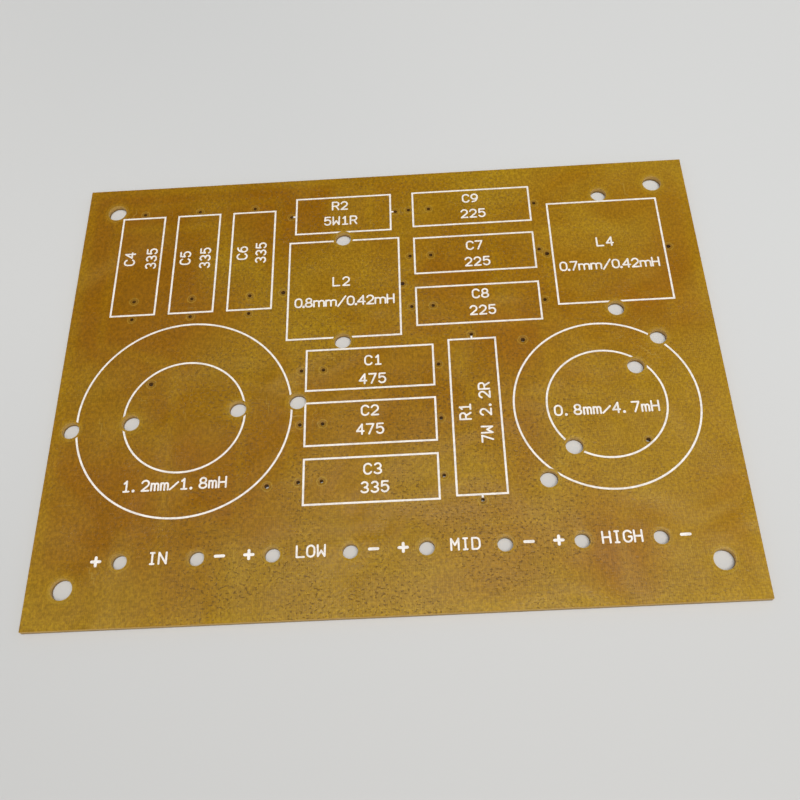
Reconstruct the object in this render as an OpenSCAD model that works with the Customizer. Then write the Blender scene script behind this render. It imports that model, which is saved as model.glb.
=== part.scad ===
// Bare printed circuit board for a three-way passive loudspeaker crossover.
// One glass-epoxy panel, drilled for nine film capacitors, four air-core coils and two power
// resistors, with copper foil areas on its underside and a white printed legend on top.
// Millimetres. The board's long side runs along X, its terminal row is at the front, and the
// origin is at the centre of the underside.

/* [Board] */
// Width of the board along X
board_w = 160; // [156:0.5:180]
// Depth of the board along Y
board_d = 120; // [117:0.5:140]
// Thickness of the glass-epoxy laminate
laminate_t = 1.6; // [0.8:0.1:3.2]

/* [Mounting holes] */
// Diameter of the four corner mounting holes
mount_hole_d = 4.8; // [3:0.1:5]
// Left edge of the board to the left mounting holes
mount_left = 7.85; // [7:0.05:10]
// Right edge of the board to the right mounting holes
mount_right = 8.65; // [7:0.05:10]
// Front edge of the board to the front mounting holes
mount_front = 8.9; // [7:0.1:10]
// Back edge of the board to the back mounting holes
mount_back = 7.7; // [7:0.1:9]

/* [Terminal holes] */
// Diameter of the eight holes for the wire terminals
terminal_d = 3.5; // [2:0.1:4]
// Left edge of the board to the first terminal hole
terminal_left = 19.85; // [18:0.05:22]
// Front edge of the board to the terminal row
terminal_front = 14.6; // [13.5:0.1:18]
// Distance between the two holes of one terminal pair
terminal_pitch = 17.15; // [15:0.05:18]
// Distance from one terminal pair to the next
terminal_pair_pitch = 33.95; // [32:0.05:35]
// Length of the plus and minus marks
mark_l = 2.5; // [1.5:0.1:3]
// Distance from a terminal hole out to its mark
mark_offset = 5.15; // [4:0.05:6]
// How far the row of marks lies behind the terminal row
mark_back = 0.25; // [0:0.05:1]

/* [Lead holes] */
// Diameter of the holes for capacitor and resistor leads
lead_d = 0.9; // [0.6:0.05:1]
// Diameter of the holes for coil wire
coil_lead_d = 1.1; // [0.8:0.05:1.5]
// Diameter of the holes for the cable ties that hold the coils
tie_d = 4.1; // [3:0.1:4.2]

/* [Capacitors] */
// Length of a capacitor's printed outline
cap_l = 30.85; // [28:0.05:32]
// Width of a capacitor's printed outline
cap_w = 11.15; // [9:0.05:11.5]
// How far the outermost lead hole lies outside the outline
cap_lead_out = 1.2; // [1:0.05:1.5]
// Outline's end to the second, inner lead hole
cap_lead_in = 4.15; // [3.5:0.05:5]
// Left edge of the board to the first of the three upright outlines
low_caps_left = 10; // [9:0.1:11]
// Distance from one upright outline to the next
low_caps_pitch = 14.85; // [14:0.05:15.2]
// Large ring outline to the upright outlines behind it
low_caps_gap = 3.6; // [2:0.05:5]
// Large ring outline to the lying outlines in the middle
mid_caps_gap = 3.25; // [2.5:0.05:4]
// Terminal row to the first lying outline in the middle
mid_caps_front = 11.2; // [10:0.1:13]
// Distance from one lying outline in the middle to the next
mid_caps_pitch = 14.525; // [13:0.025:15]
// Square coil outline to the lying outlines at the back
high_caps_gap = 4.05; // [3.5:0.05:4.5]
// Upright resistor's outline to the first lying outline behind it
high_caps_front = 4.7; // [4:0.05:6]
// Distances from one lying outline at the back to the next
high_caps_pitch = [15.5, 15.05]; // [14:0.05:16]

/* [Resistors] */
// Length of the upright resistor's outline
res_mid_l = 40.7; // [38:0.1:41]
// Width of the upright resistor's outline
res_mid_w = 11.4; // [9:0.1:12]
// Middle capacitors' outlines to the upright resistor's
res_mid_gap = 3.9; // [3:0.1:4.5]
// Terminal row to the upright resistor's outline
res_mid_front = 11.75; // [11:0.05:13]
// Length of the lying resistor's outline
res_high_l = 25.05; // [23:0.05:25.5]
// Width of the lying resistor's outline
res_high_w = 11.65; // [9:0.05:12]
// How far the lying resistor's outline starts right of the square coil's
res_high_shift = 1.375; // [1:0.025:2]
// Square coil's outline to the lying resistor's
res_high_gap = 2.855; // [2.5:0.005:3.5]
// Distance from a resistor outline's end to its lead hole
res_lead_out = 1.3; // [1:0.05:1.4]

/* [Coils] */
// Outer radius of the large ring outline
big_ring_r = 25.65; // [24:0.05:26.5]
// Inner radius of the large ring outline
big_bore_r = 14.5; // [12:0.1:16]
// Left edge of the board to the large ring outline
big_left = 5.7; // [4:0.1:8]
// Terminal row to the large ring outline
big_front = 9.55; // [8:0.05:12]
// Outer radius of the small ring outline
small_ring_r = 21.7; // [20:0.1:22.5]
// Inner radius of the small ring outline
small_bore_r = 14.0; // [12:0.1:15]
// Upright resistor's outline to the small ring outline
small_gap = 3.1; // [2:0.1:4]
// Terminal row to the small ring outline
small_front = 11.5; // [10:0.1:13]
// Width and depth of the square coil outline on the left
square_coil = [28.35, 29.5]; // [27:0.05:30]
// Upright capacitors' outlines to the square coil's
square_gap = 4.3; // [3.5:0.1:5]
// Middle capacitors' outlines to the square coil's
square_front = 3.4; // [3:0.1:4]
// Width and depth of the tall coil outline on the right
tall_coil = [28.5, 31.5]; // [27:0.1:32]
// Back capacitors' outlines to the tall coil's
tall_gap = 4.55; // [4:0.05:5]
// Small ring outline to the tall coil's
tall_front = 6.25; // [5.5:0.05:7]

/* [Legend] */
// Width of a printed line
line_w = 0.45; // [0.3:0.05:0.6]
// Height of the printed ink
ink_t = 0.04; // [0.03:0.01:0.1]
// How far a coil's outline stops short of its cable tie holes
ink_clear = 0.5; // [0.4:0.1:0.8]
// How far any other print stops short of a cable tie hole
ink_trim = 0.05; // [0:0.01:0.1]

/* [Copper] */
// Thickness of the copper foil
copper_t = 0.07; // [0.035:0.005:0.14]
// Bare margin between the copper and the board's edges
edge_margin = 2.3; // [1.5:0.1:2.6]
// Width of the gap between two copper areas
isolation = 1.4; // [0.8:0.1:1.6]
// Width of the gap where two leads of different areas stand close
isolation_tight = 0.5; // [0.4:0.05:0.6]
// Lead hole to the middle of the nearest gap
land = 2.1; // [1.6:0.1:2.4]
// Bare ring round each mounting and cable tie hole
copper_clear = 1.3; // [0.6:0.1:1.5]

/* [Hidden] */
$fn = 64;
cut = 1;
straight = 1e-6;
laminate_z = copper_t;
ink_z = copper_t + laminate_t;
mark_front = terminal_front + mark_back;
terminal_pairs = 4;
lying = 3;

// Corner mounting holes
mount_holes = [
    for (x = [mount_left, board_w - mount_right]) for (y = [mount_front, board_d - mount_back]) [x, y]
];

// Terminal holes: even entries carry the plus mark, odd ones the minus mark
terminals = [
    for (pair = [0 : terminal_pairs - 1]) for (side = [0, 1])
        [terminal_left + pair * terminal_pair_pitch + side * terminal_pitch, terminal_front]
];

// Front row, from left to right: large ring coil, capacitors, upright resistor, small ring coil
big_centre = [big_left, terminal_front + big_front] + [big_ring_r, big_ring_r];
big_back = big_centre.y + big_ring_r;
mid_caps_x = big_centre.x + big_ring_r + mid_caps_gap;
mid_caps_y = [for (i = [lying - 1 : -1 : 0]) terminal_front + mid_caps_front + i * mid_caps_pitch];
mid_caps_back = mid_caps_y[0] + cap_w;
res_mid_origin = [mid_caps_x + cap_l + res_mid_gap, terminal_front + res_mid_front];
res_mid_centre = res_mid_origin + [res_mid_w, res_mid_l] / 2;
small_centre = [res_mid_origin.x + res_mid_w + small_gap, terminal_front + small_front]
    + [small_ring_r, small_ring_r];

// Back row: upright capacitors, square coil and lying resistor, capacitors, tall coil
low_caps_x = [for (i = [0 : lying - 1]) low_caps_left + i * low_caps_pitch];
low_caps_y = big_back + low_caps_gap;
square_origin = [low_caps_x[lying - 1] + cap_w + square_gap, mid_caps_back + square_front];
square_back = square_origin.y + square_coil.y;
res_high_origin = [square_origin.x + res_high_shift, square_back + res_high_gap];
res_high_centre = res_high_origin + [res_high_l, res_high_w] / 2;
high_caps_x = square_origin.x + square_coil.x + high_caps_gap;
high_caps_first = res_mid_origin.y + res_mid_l + high_caps_front;
high_caps_y = [high_caps_first + high_caps_pitch[0], high_caps_first,
               high_caps_first + high_caps_pitch[0] + high_caps_pitch[1]];
tall_origin = [high_caps_x + cap_l + tall_gap, small_centre.y + small_ring_r + tall_front];

// Cable ties: a ring coil has one inside its bore and one outside it, on both sides of the
// centre, and a square coil has one at its front and one at its back
big_tie_angle = 5.1;
big_tie_in = 1.75;
big_tie_out = 1.45;
small_tie_angle = 50;
small_tie_in = 0.9;
small_tie_out = 1.6;
small_tie_shift = [-0.3, -0.65];
square_tie_x = 13.9;
square_tie_out = [1.05, 0.6];
tall_tie_x = 13.9;
tall_tie_out = [2, 2.25];
big_ties = both_sides(big_centre, [big_bore_r - big_tie_in, big_ring_r + big_tie_out], big_tie_angle);
small_ties = both_sides(small_centre + small_tie_shift,
                        [small_bore_r - small_tie_in, small_ring_r + small_tie_out], small_tie_angle);
square_ties = front_and_back(square_origin, square_coil, square_tie_x, square_tie_out);
tall_ties = front_and_back(tall_origin, tall_coil, tall_tie_x, tall_tie_out);
ties = concat(big_ties, small_ties, square_ties, tall_ties);

// Coil leads: [start, end] of each winding
big_lead_angle = [134.2, -42.8];
big_lead_in = 1.8;
big_lead_out = 2.35;
small_lead_angle = [134.8, -50.9];
small_lead_out = 3.95;
small_lead_in = 1;
square_lead_out = [1.35, 0.7];
square_lead_y = [14.2, 15];
tall_lead_out = [1.45, 1.05];
tall_lead_y = [15.55, 15.75];
big_leads = [big_centre + polar(big_bore_r - big_lead_in, big_lead_angle[0]),
             big_centre + polar(big_ring_r + big_lead_out, big_lead_angle[1])];
small_leads = [small_centre + polar(small_ring_r + small_lead_out, small_lead_angle[0]),
               small_centre + polar(small_bore_r - small_lead_in, small_lead_angle[1])];
square_leads = left_and_right(square_origin, square_coil, square_lead_out, square_lead_y);
tall_leads = left_and_right(tall_origin, tall_coil, tall_lead_out, tall_lead_y);

// Resistor leads: [back, front] of the upright one and [left, right] of the lying one
res_mid_lead = res_mid_l / 2 + res_lead_out;
res_high_lead = res_high_l / 2 + res_lead_out;
res_mid_leads = [for (s = [1, -1]) res_mid_centre + [0, s * res_mid_lead]];
res_high_leads = [for (s = [-1, 1]) res_high_centre + [s * res_high_lead, 0]];

// Capacitor leads, as distances along the outline: two holes at the near end, one at the far end
near_leads = [-cap_lead_out, cap_lead_in];
far_leads = [cap_l + cap_lead_out];
low_near = [for (x = low_caps_x) for (d = near_leads) [x + cap_w / 2, low_caps_y + d]];
low_far = [for (x = low_caps_x) for (d = far_leads) [x + cap_w / 2, low_caps_y + d]];
mid_near = [for (y = mid_caps_y) for (d = near_leads) [mid_caps_x + d, y + cap_w / 2]];
mid_far = [for (y = mid_caps_y) for (d = far_leads) [mid_caps_x + d, y + cap_w / 2]];
high_near = [for (y = high_caps_y) for (d = near_leads) [high_caps_x + d, y + cap_w / 2]];
high_far = [for (y = high_caps_y) for (d = far_leads) [high_caps_x + d, y + cap_w / 2]];

fine_leads = concat(low_near, low_far, mid_near, mid_far, high_near, high_far,
                    res_mid_leads, res_high_leads);
coil_leads = concat(big_leads, small_leads, square_leads, tall_leads);

// Copper. The foil is cut into cells whose borders are the middle lines of the gaps. Along the
// board's edges the border lies half a gap outside the foil.
half_gap = isolation / 2;
border = edge_margin - half_gap;
west = border;
south = border;
east = board_w - border;
north = board_d - border;

// Borders between the terminals
strip_depth = 5;            // from the terminal row down to the ground strip along the front
woofer_side = 7.2;          // right of the second pair's plus terminal
mid_side = [10.25, 7.75];   // left and right of the third pair's plus terminal
strip_y = terminal_front - strip_depth;
input_x = middle(terminals[0].x, terminals[1].x);
woofer_x = middle(terminals[1].x, terminals[2].x);
woofer_pad_x = terminals[2].x + woofer_side;
pocket_x = [terminals[4].x - mid_side[0], terminals[4].x + mid_side[1]];
corner_x = middle(terminals[6].x, terminals[7].x);

// Borders of the input, the woofer section and the upright capacitors. The input reaches the
// square coil by a strip along the back edge, and the woofer's area lies in front of it, with a
// rim of foil left behind the lead holes.
input_strip = 4.8;
input_strip_min = 2.2;
rim = 0.25;
woofer_strip = 7.3;
upright_margin = 1.6;
step_share = 13.55;         // capacitors' front to the border across them, right of the step
bend_drop = [11.95, 4.95];  // large ring's back to the bends in the input's border
column_drop = [15.45, 8.45];    // and to those in the woofer's
input_back = min(max(north - input_strip, low_far[0].y + lead_d / 2 + rim + half_gap),
                 north - input_strip_min);
upright_x = low_caps_left - upright_margin;
step_x = middle(low_far[1].x, low_far[2].x);
step_y = [low_caps_y + step_share, input_back - woofer_strip];
column_x = low_far[2].x + land;
coil_x = square_leads[0].x - land;

// Borders of the middle section's feed
feed_strip = 4.6;           // depth of the strip between the middle capacitors and square coil
feed_split = 14.75;         // left end of the middle capacitors to the border across them
feed_rise = 3.2;
coil_split = 19.35;         // left side of the square coil to the border across it
res_split = 19.5;           // left end of the lying resistor to the border across it
jog_reach = 4.1;
feed_x = mid_near[0].x - land;
feed_y = mid_caps_y[lying - 1];
cross_y = middle(mid_caps_back, square_origin.y);
coil_y = cross_y + feed_strip;
split_x = mid_caps_x + feed_split;
coil_split_x = square_origin.x + coil_split;
res_split_x = res_high_origin.x + res_split;
res_y = middle(square_back, res_high_origin.y);
high_x = high_near[0].x - land;
jog_x = square_leads[1].x + land;
jog_y = [square_leads[1].y - jog_reach, square_leads[1].y + jog_reach];

// Borders of the middle section's output. Each list of steps gives the bends as offsets from the
// place that the line below it names.
out_split = 4.8;            // upright resistor's centre to the border across it
out_shift = 1.5;
middle_inset = 12.6;        // centre of the small ring coil to the middle section's right border
over_gap = 2.55;
out_steps = [[-6.5, 0], [-2.2, 4.3], [0, 12]];
over_steps = [5, 2.8];
pocket_steps = [[0, 2.3], [2.5, 5]];
middle_steps = [[-4.3, 5.4], [-1.5, 7.1], [-1.5, 14.6]];
meeting_steps = [[2.15, -13.5], [0, -6.6]];
slit_steps = [[0.6, 0], [-2.7, 14.4]];
out_x = res_mid_centre.x - out_shift;
out_y = res_mid_centre.y + out_split;
middle_x = small_centre.x - middle_inset;
over_y = res_mid_leads[0].y + over_gap;
out_bends = [for (step = out_steps) [out_x, feed_y] + step];
over_bends = [[out_x - over_steps[0], cross_y], [out_x - over_steps[1], over_y]];
middle_bends = concat(
    [for (step = pocket_steps) [pocket_x[1], terminal_front] + step],
    [for (step = middle_steps) [middle_x, terminal_front] + step],
    [for (step = meeting_steps) [middle_x, out_y] + step]
);
slit = [for (step = slit_steps) [out_x, out_y] + step];

// Borders of the tweeter section, with a narrow gap between two leads that stand close
back_split = 20.45;         // left end of the back capacitors to the border across them
tight_reach = 3.5;
tall_shift = 0.85;
tall_rise = 1.8;            // from the border over the middle section to its bend at the tall coil
fork_steps = [[0, 9.5], [2.3, 4.85], [5.3, 0]];
back_split_x = high_caps_x + back_split;
tight_x = middle(high_far[0].x, tall_leads[0].x);
tight_y = middle(high_far[0].y, tall_leads[0].y);
tall_x = tight_x + tall_shift;
fork = [for (step = fork_steps) [back_split_x, over_y] + step];
over_end = [tall_x, over_y + tall_rise];

// Border of the strip that runs up the right side, and of the ground finger under the tall coil:
// each bend lies a share of the way between two corners
side_w = 7.8;
side_drop = 9.1;            // from the small ring coil's centre to the strip's front bend
side_rise = 0.55;           // from the tall coil's front line to its back bend
finger_rise = 7.4;          // from the tall coil's first lead to the finger's end
corner_rise = 3.6;
side_x = east - side_w;
corner = [corner_x, terminal_front + corner_rise];
side = [[side_x, small_centre.y - side_drop], [side_x, tall_origin.y + side_rise]];
finger = [tall_x, tall_leads[0].y + finger_rise];
corner_shares = [[0.36, 0.43], [0.75, 0.66]];
finger_shares = [[0.24, 0.08], [0.29, 0.26], [0.32, 0.76], [0.45, 1]];
side_border = concat(
    [[corner_x, south], corner], [for (f = corner_shares) part_way(corner, side[0], f)],
    side, [for (f = finger_shares) part_way(side[1], finger, f)], [finger]
);

function middle(a, b) = (a + b) / 2;

function polar(r, angle) = r * [cos(angle), sin(angle)];

function part_way(from, to, share) =
    [from.x + share.x * (to.x - from.x), from.y + share.y * (to.y - from.y)];

function reversed(path) = [for (i = [len(path) - 1 : -1 : 0]) path[i]];

// Points at the given radii on both sides of a centre, on a line at an angle
function both_sides(centre, radii, angle) =
    [for (s = [-1, 1]) for (r = radii) centre + s * polar(r, angle)];

// Points outside a box: in front of it and behind it, or left and right of it
function front_and_back(origin, size, x, out) =
    [origin + [x, -out[0]], origin + [x, size.y + out[1]]];
function left_and_right(origin, size, out, y) =
    [origin + [-out[0], y[0]], origin + [size.x + out[1], y[1]]];

// Direction into the cell from its edge between two points, with the cell on the left
function inward(from, to) = let (d = [to.x - from.x, to.y - from.y]) [-d.y, d.x] / norm(d);

// Half the gap along the edge that starts at a point: a third entry gives a width of its own
function half(p) = is_undef(p[2]) ? half_gap : p[2] / 2;

// A cell's corners, listed counterclockwise, moved inward by half a gap
function inset(cell) = [
    for (i = [0 : len(cell) - 1])
        let (
            here = cell[i],
            before = cell[(i + len(cell) - 1) % len(cell)],
            m = inward(before, here),
            n = inward(here, cell[(i + 1) % len(cell)]),
            turn = m.x * n.y - m.y * n.x
        )
        [here.x, here.y] + (abs(turn) < straight ? half(here) * n
            : (half(before) * [n.y, -n.x] + half(here) * [-m.y, m.x]) / turn)
];

// The board's front-left corner, seen from the part's origin
module on_board() {
    translate([-board_w / 2, -board_d / 2, 0]) children();
}

// Drills through the whole thickness at each point
module drill(points, d) {
    for (p = points)
        translate([p.x, p.y, -cut])
            cylinder(h = copper_t + laminate_t + ink_t + 2 * cut, d = d);
}

module laminate() {
    color([0.58, 0.42, 0.12])
        difference() {
            on_board() translate([0, 0, laminate_z]) cube([board_w, board_d, laminate_t]);
            on_board() drill(mount_holes, mount_hole_d);
            on_board() drill(terminals, terminal_d);
            on_board() drill(ties, tie_d);
            on_board() drill(fine_leads, lead_d);
            on_board() drill(coil_leads, coil_lead_d);
        }
}

// One area of foil: its cell, less its own lead holes and the bare rings round large holes
module foil(cell, fine = [], coils = [], terms = []) {
    color([0.72, 0.45, 0.2])
        on_board()
            difference() {
                linear_extrude(height = copper_t) polygon(inset(cell));
                drill(fine, lead_d);
                drill(coils, coil_lead_d);
                drill(terms, terminal_d);
                drill(mount_holes, mount_hole_d + 2 * copper_clear);
                drill(ties, tie_d + 2 * copper_clear);
            }
}

// Input: plus terminal, start of the large coil, square coil and lying resistor
module copper_input() {
    foil([
        [west, south], [input_x, south], [input_x, big_back - bend_drop[0]],
        [upright_x, big_back - bend_drop[1]], [upright_x, input_back], [coil_x, input_back],
        [coil_x, coil_y], [coil_split_x, coil_y], [coil_split_x, res_y], [res_split_x, res_y],
        [res_split_x, north], [west, north]
    ], fine = [res_high_leads[0]], coils = [big_leads[0], square_leads[0]], terms = [terminals[0]]);
}

// Ground: a strip along the front with fingers to the terminals, the upright capacitors, and
// the ends of the small ring coil and the tall coil
module copper_ground() {
    foil(concat(
        [[input_x, south]], side_border,
        [[tall_x, tight_y + tight_reach], [tight_x, tight_y + tight_reach, isolation_tight],
         [tight_x, tight_y - tight_reach], [tall_x, tight_y - tight_reach],
         over_end, [middle_x, over_y]],
        reversed(middle_bends),
        [[pocket_x[1], strip_y], [pocket_x[0], strip_y], [pocket_x[0], feed_y],
         [woofer_pad_x, feed_y], [woofer_pad_x, strip_y], [woofer_x, strip_y],
         [woofer_x, big_back - column_drop[0]], [column_x, big_back - column_drop[1]],
         [column_x, step_y[0]], [step_x, step_y[0]], [step_x, step_y[1]], [upright_x, step_y[1]],
         [upright_x, big_back - bend_drop[1]], [input_x, big_back - bend_drop[0]]]
    ), fine = low_near, coils = [small_leads[1], tall_leads[0]],
       terms = [terminals[1], terminals[3], terminals[5], terminals[6]]);
}

// Woofer: end of the large coil, back leads of the upright capacitors, plus terminal
module copper_woofer() {
    foil([
        [woofer_x, strip_y], [woofer_pad_x, strip_y], [woofer_pad_x, feed_y],
        [feed_x, feed_y + feed_rise], [feed_x, coil_y], [coil_x, coil_y], [coil_x, input_back],
        [upright_x, input_back], [upright_x, step_y[1]], [step_x, step_y[1]],
        [step_x, step_y[0]], [column_x, step_y[0]], [column_x, big_back - column_drop[1]],
        [woofer_x, big_back - column_drop[0]]
    ], fine = low_far, coils = [big_leads[1]], terms = [terminals[2]]);
}

// Feed of the middle section: end of the square coil, near leads of the middle capacitors
module copper_mid_feed() {
    foil([
        [woofer_pad_x, feed_y], [split_x, feed_y], [split_x, cross_y], [high_x, cross_y],
        [high_x, jog_y[0]], [jog_x, jog_y[0]], [jog_x, jog_y[1]], [high_x, jog_y[1]],
        [high_x, res_y], [coil_split_x, res_y], [coil_split_x, coil_y], [feed_x, coil_y],
        [feed_x, feed_y + feed_rise]
    ], fine = mid_near, coils = [square_leads[1]]);
}

// Filter of the middle section: far leads of the middle capacitors, start of the small ring
// coil, back lead of the upright resistor, with a slit that keeps the two halves apart
module copper_mid_filter() {
    run = slit[1] - slit[0];
    difference() {
        foil(concat(
            [[split_x, feed_y]], out_bends,
            [[out_x, out_y], [middle_x, out_y], [middle_x, over_y]],
            reversed(over_bends), [[split_x, cross_y]]
        ), fine = concat(mid_far, [res_mid_leads[0]]), coils = [small_leads[0]]);
        on_board()
            translate([slit[0].x, slit[0].y, 0])
                rotate([0, 0, atan2(run.y, run.x)])
                    translate([0, -half_gap, -cut])
                        cube([norm(run), isolation, copper_t + 2 * cut]);
    }
}

// Output of the middle section: front lead of the upright resistor, plus terminal
module copper_mid_output() {
    foil(concat(
        [[pocket_x[0], strip_y], [pocket_x[1], strip_y]], middle_bends,
        [[middle_x, out_y], [out_x, out_y]], reversed(out_bends), [[pocket_x[0], feed_y]]
    ), fine = [res_mid_leads[1]], terms = [terminals[4]]);
}

// Feed of the tweeter section: end of the lying resistor, near leads of the back capacitors
module copper_tweeter_feed() {
    foil(concat(
        [[high_x, cross_y]], over_bends, reversed(fork),
        [[back_split_x, north], [res_split_x, north], [res_split_x, res_y], [high_x, res_y],
         [high_x, jog_y[1]], [jog_x, jog_y[1]], [jog_x, jog_y[0]], [high_x, jog_y[0]]]
    ), fine = concat(high_near, [res_high_leads[1]]));
}

// Output of the tweeter section: far leads of the back capacitors, end of the tall coil, and
// round the right side to the fourth pair's minus terminal, which reverses that driver
module copper_tweeter_output() {
    foil(concat(
        fork,
        [[middle_x, over_y], over_end, [tall_x, tight_y - tight_reach],
         [tight_x, tight_y - tight_reach, isolation_tight], [tight_x, tight_y + tight_reach],
         [tall_x, tight_y + tight_reach]],
        reversed(side_border),
        [[east, south], [east, north], [back_split_x, north]]
    ), fine = high_far, coils = [tall_leads[1]], terms = [terminals[7]]);
}

// Printed ink: a flat shape at the legend's height, trimmed at every cable tie hole and kept
// well clear of the holes in the list
module ink(clear_of = []) {
    color([0.93, 0.91, 0.88])
        on_board()
            translate([0, 0, ink_z])
                difference() {
                    children();
                    drill(ties, tie_d + 2 * ink_trim);
                    drill(clear_of, tie_d + 2 * ink_clear);
                }
}

// Outline of a box, its lines centred on the given size
module frame(origin, size) {
    translate([origin.x, origin.y, 0])
        difference() {
            translate([-line_w / 2, -line_w / 2, 0]) cube([size.x + line_w, size.y + line_w, ink_t]);
            translate([line_w / 2, line_w / 2, -cut])
                cube([size.x - line_w, size.y - line_w, ink_t + 2 * cut]);
        }
}

// Outline of a ring coil: two circles
module ring_outline(centre, outer, inner) {
    for (r = [outer, inner])
        translate([centre.x, centre.y, 0])
            difference() {
                cylinder(h = ink_t, r = r + line_w / 2);
                translate([0, 0, -cut]) cylinder(h = ink_t + 2 * cut, r = r - line_w / 2);
            }
}

// Short printed line from a resistor's outline towards its lead hole
module lead_tick(from, to) {
    low = [min(from.x, to.x), min(from.y, to.y)];
    size = [abs(to.x - from.x), abs(to.y - from.y)];
    translate([low.x - (size.x == 0 ? line_w / 2 : 0), low.y - (size.y == 0 ? line_w / 2 : 0), 0])
        cube([max(size.x, line_w), max(size.y, line_w), ink_t]);
}

module mid_capacitor_outline(i) {
    ink() frame([mid_caps_x, mid_caps_y[i]], [cap_l, cap_w]);
}

module low_capacitor_outline(i) {
    ink() frame([low_caps_x[i], low_caps_y], [cap_w, cap_l]);
}

module high_capacitor_outline(i) {
    ink() frame([high_caps_x, high_caps_y[i]], [cap_l, cap_w]);
}

module outline_l1() {
    ink(clear_of = big_ties) ring_outline(big_centre, big_ring_r, big_bore_r);
}

module outline_l2() {
    ink(clear_of = square_ties) frame(square_origin, square_coil);
}

module outline_l3() {
    ink(clear_of = small_ties) ring_outline(small_centre, small_ring_r, small_bore_r);
}

module outline_l4() {
    ink(clear_of = [tall_ties[0]]) frame(tall_origin, tall_coil);
}

module outline_r1() {
    tick = res_mid_lead - lead_d / 2 - ink_trim;
    ink() {
        frame(res_mid_origin, [res_mid_w, res_mid_l]);
        for (s = [-1, 1])
            lead_tick(res_mid_centre + [0, s * res_mid_l / 2], res_mid_centre + [0, s * tick]);
    }
}

module outline_r2() {
    tick = res_high_lead - lead_d / 2 - ink_trim;
    ink(clear_of = [square_ties[1]]) {
        frame(res_high_origin, [res_high_l, res_high_w]);
        for (s = [-1, 1])
            lead_tick(res_high_centre + [s * res_high_l / 2, 0], res_high_centre + [s * tick, 0]);
    }
}

// Plus and minus marks outside each pair of terminal holes
module polarity_marks() {
    ink()
        for (i = [0 : len(terminals) - 1]) {
            minus = i % 2 == 1;
            x = terminals[i].x + (minus ? mark_offset : -mark_offset);
            translate([x, mark_front, 0]) {
                translate([-mark_l / 2, -line_w / 2, 0]) cube([mark_l, line_w, ink_t]);
                if (!minus)
                    translate([-line_w / 2, -mark_l / 2, 0]) cube([line_w, mark_l, ink_t]);
            }
        }
}

laminate();
copper_input();
copper_ground();
copper_woofer();
copper_mid_feed();
copper_mid_filter();
copper_mid_output();
copper_tweeter_feed();
copper_tweeter_output();
for (i = [0 : lying - 1]) {
    mid_capacitor_outline(i);
    low_capacitor_outline(i);
    high_capacitor_outline(i);
}
outline_l1();
outline_l2();
outline_l3();
outline_l4();
outline_r1();
outline_r2();
polarity_marks();
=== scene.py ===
import math

import bmesh
import bpy
import numpy as np
from mathutils import Matrix, Vector


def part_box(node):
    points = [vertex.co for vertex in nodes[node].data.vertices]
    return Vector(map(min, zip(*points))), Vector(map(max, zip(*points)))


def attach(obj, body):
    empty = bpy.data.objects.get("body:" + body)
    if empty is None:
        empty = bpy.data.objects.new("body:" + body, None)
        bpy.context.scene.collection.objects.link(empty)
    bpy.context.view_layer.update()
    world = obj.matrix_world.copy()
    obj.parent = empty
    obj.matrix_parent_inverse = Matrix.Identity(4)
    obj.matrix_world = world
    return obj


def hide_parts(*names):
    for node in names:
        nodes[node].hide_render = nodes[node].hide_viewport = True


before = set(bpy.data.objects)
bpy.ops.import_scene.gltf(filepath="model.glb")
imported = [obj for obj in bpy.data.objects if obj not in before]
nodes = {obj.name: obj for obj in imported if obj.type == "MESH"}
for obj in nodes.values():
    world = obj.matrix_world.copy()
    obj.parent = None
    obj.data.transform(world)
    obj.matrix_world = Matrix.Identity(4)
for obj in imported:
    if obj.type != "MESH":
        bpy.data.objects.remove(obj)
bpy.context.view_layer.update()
MM = 0.001
TOUCH = 1e-6        # metres; points closer than this lie in the same plane
WELD = 1e-7         # metres; points closer than this are one
COPPER = sorted(n for n in nodes if n.startswith("copper_"))
OUTLINES = sorted(n for n in nodes if n.startswith("outline_"))

scene = bpy.context.scene
scene.view_settings.view_transform = "Standard"

# The board's box: z of the laminate's faces and of the printed ink
panel_low, panel_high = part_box("laminate")
ink_low, ink_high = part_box("outline_r1")
board_w = (panel_high.x - panel_low.x) / MM
board_d = (panel_high.y - panel_low.y) / MM


def on_board(x, y, z):
    """A point given in millimetres from the board's front-left corner, z in metres."""
    return Vector((panel_low.x + x * MM, panel_low.y + y * MM, z))


def board_mm(points):
    """Points in metres, as x and y in millimetres from the board's front-left corner."""
    return (np.array(points)[..., :2] - np.array(panel_low[:2])) / MM


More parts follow.
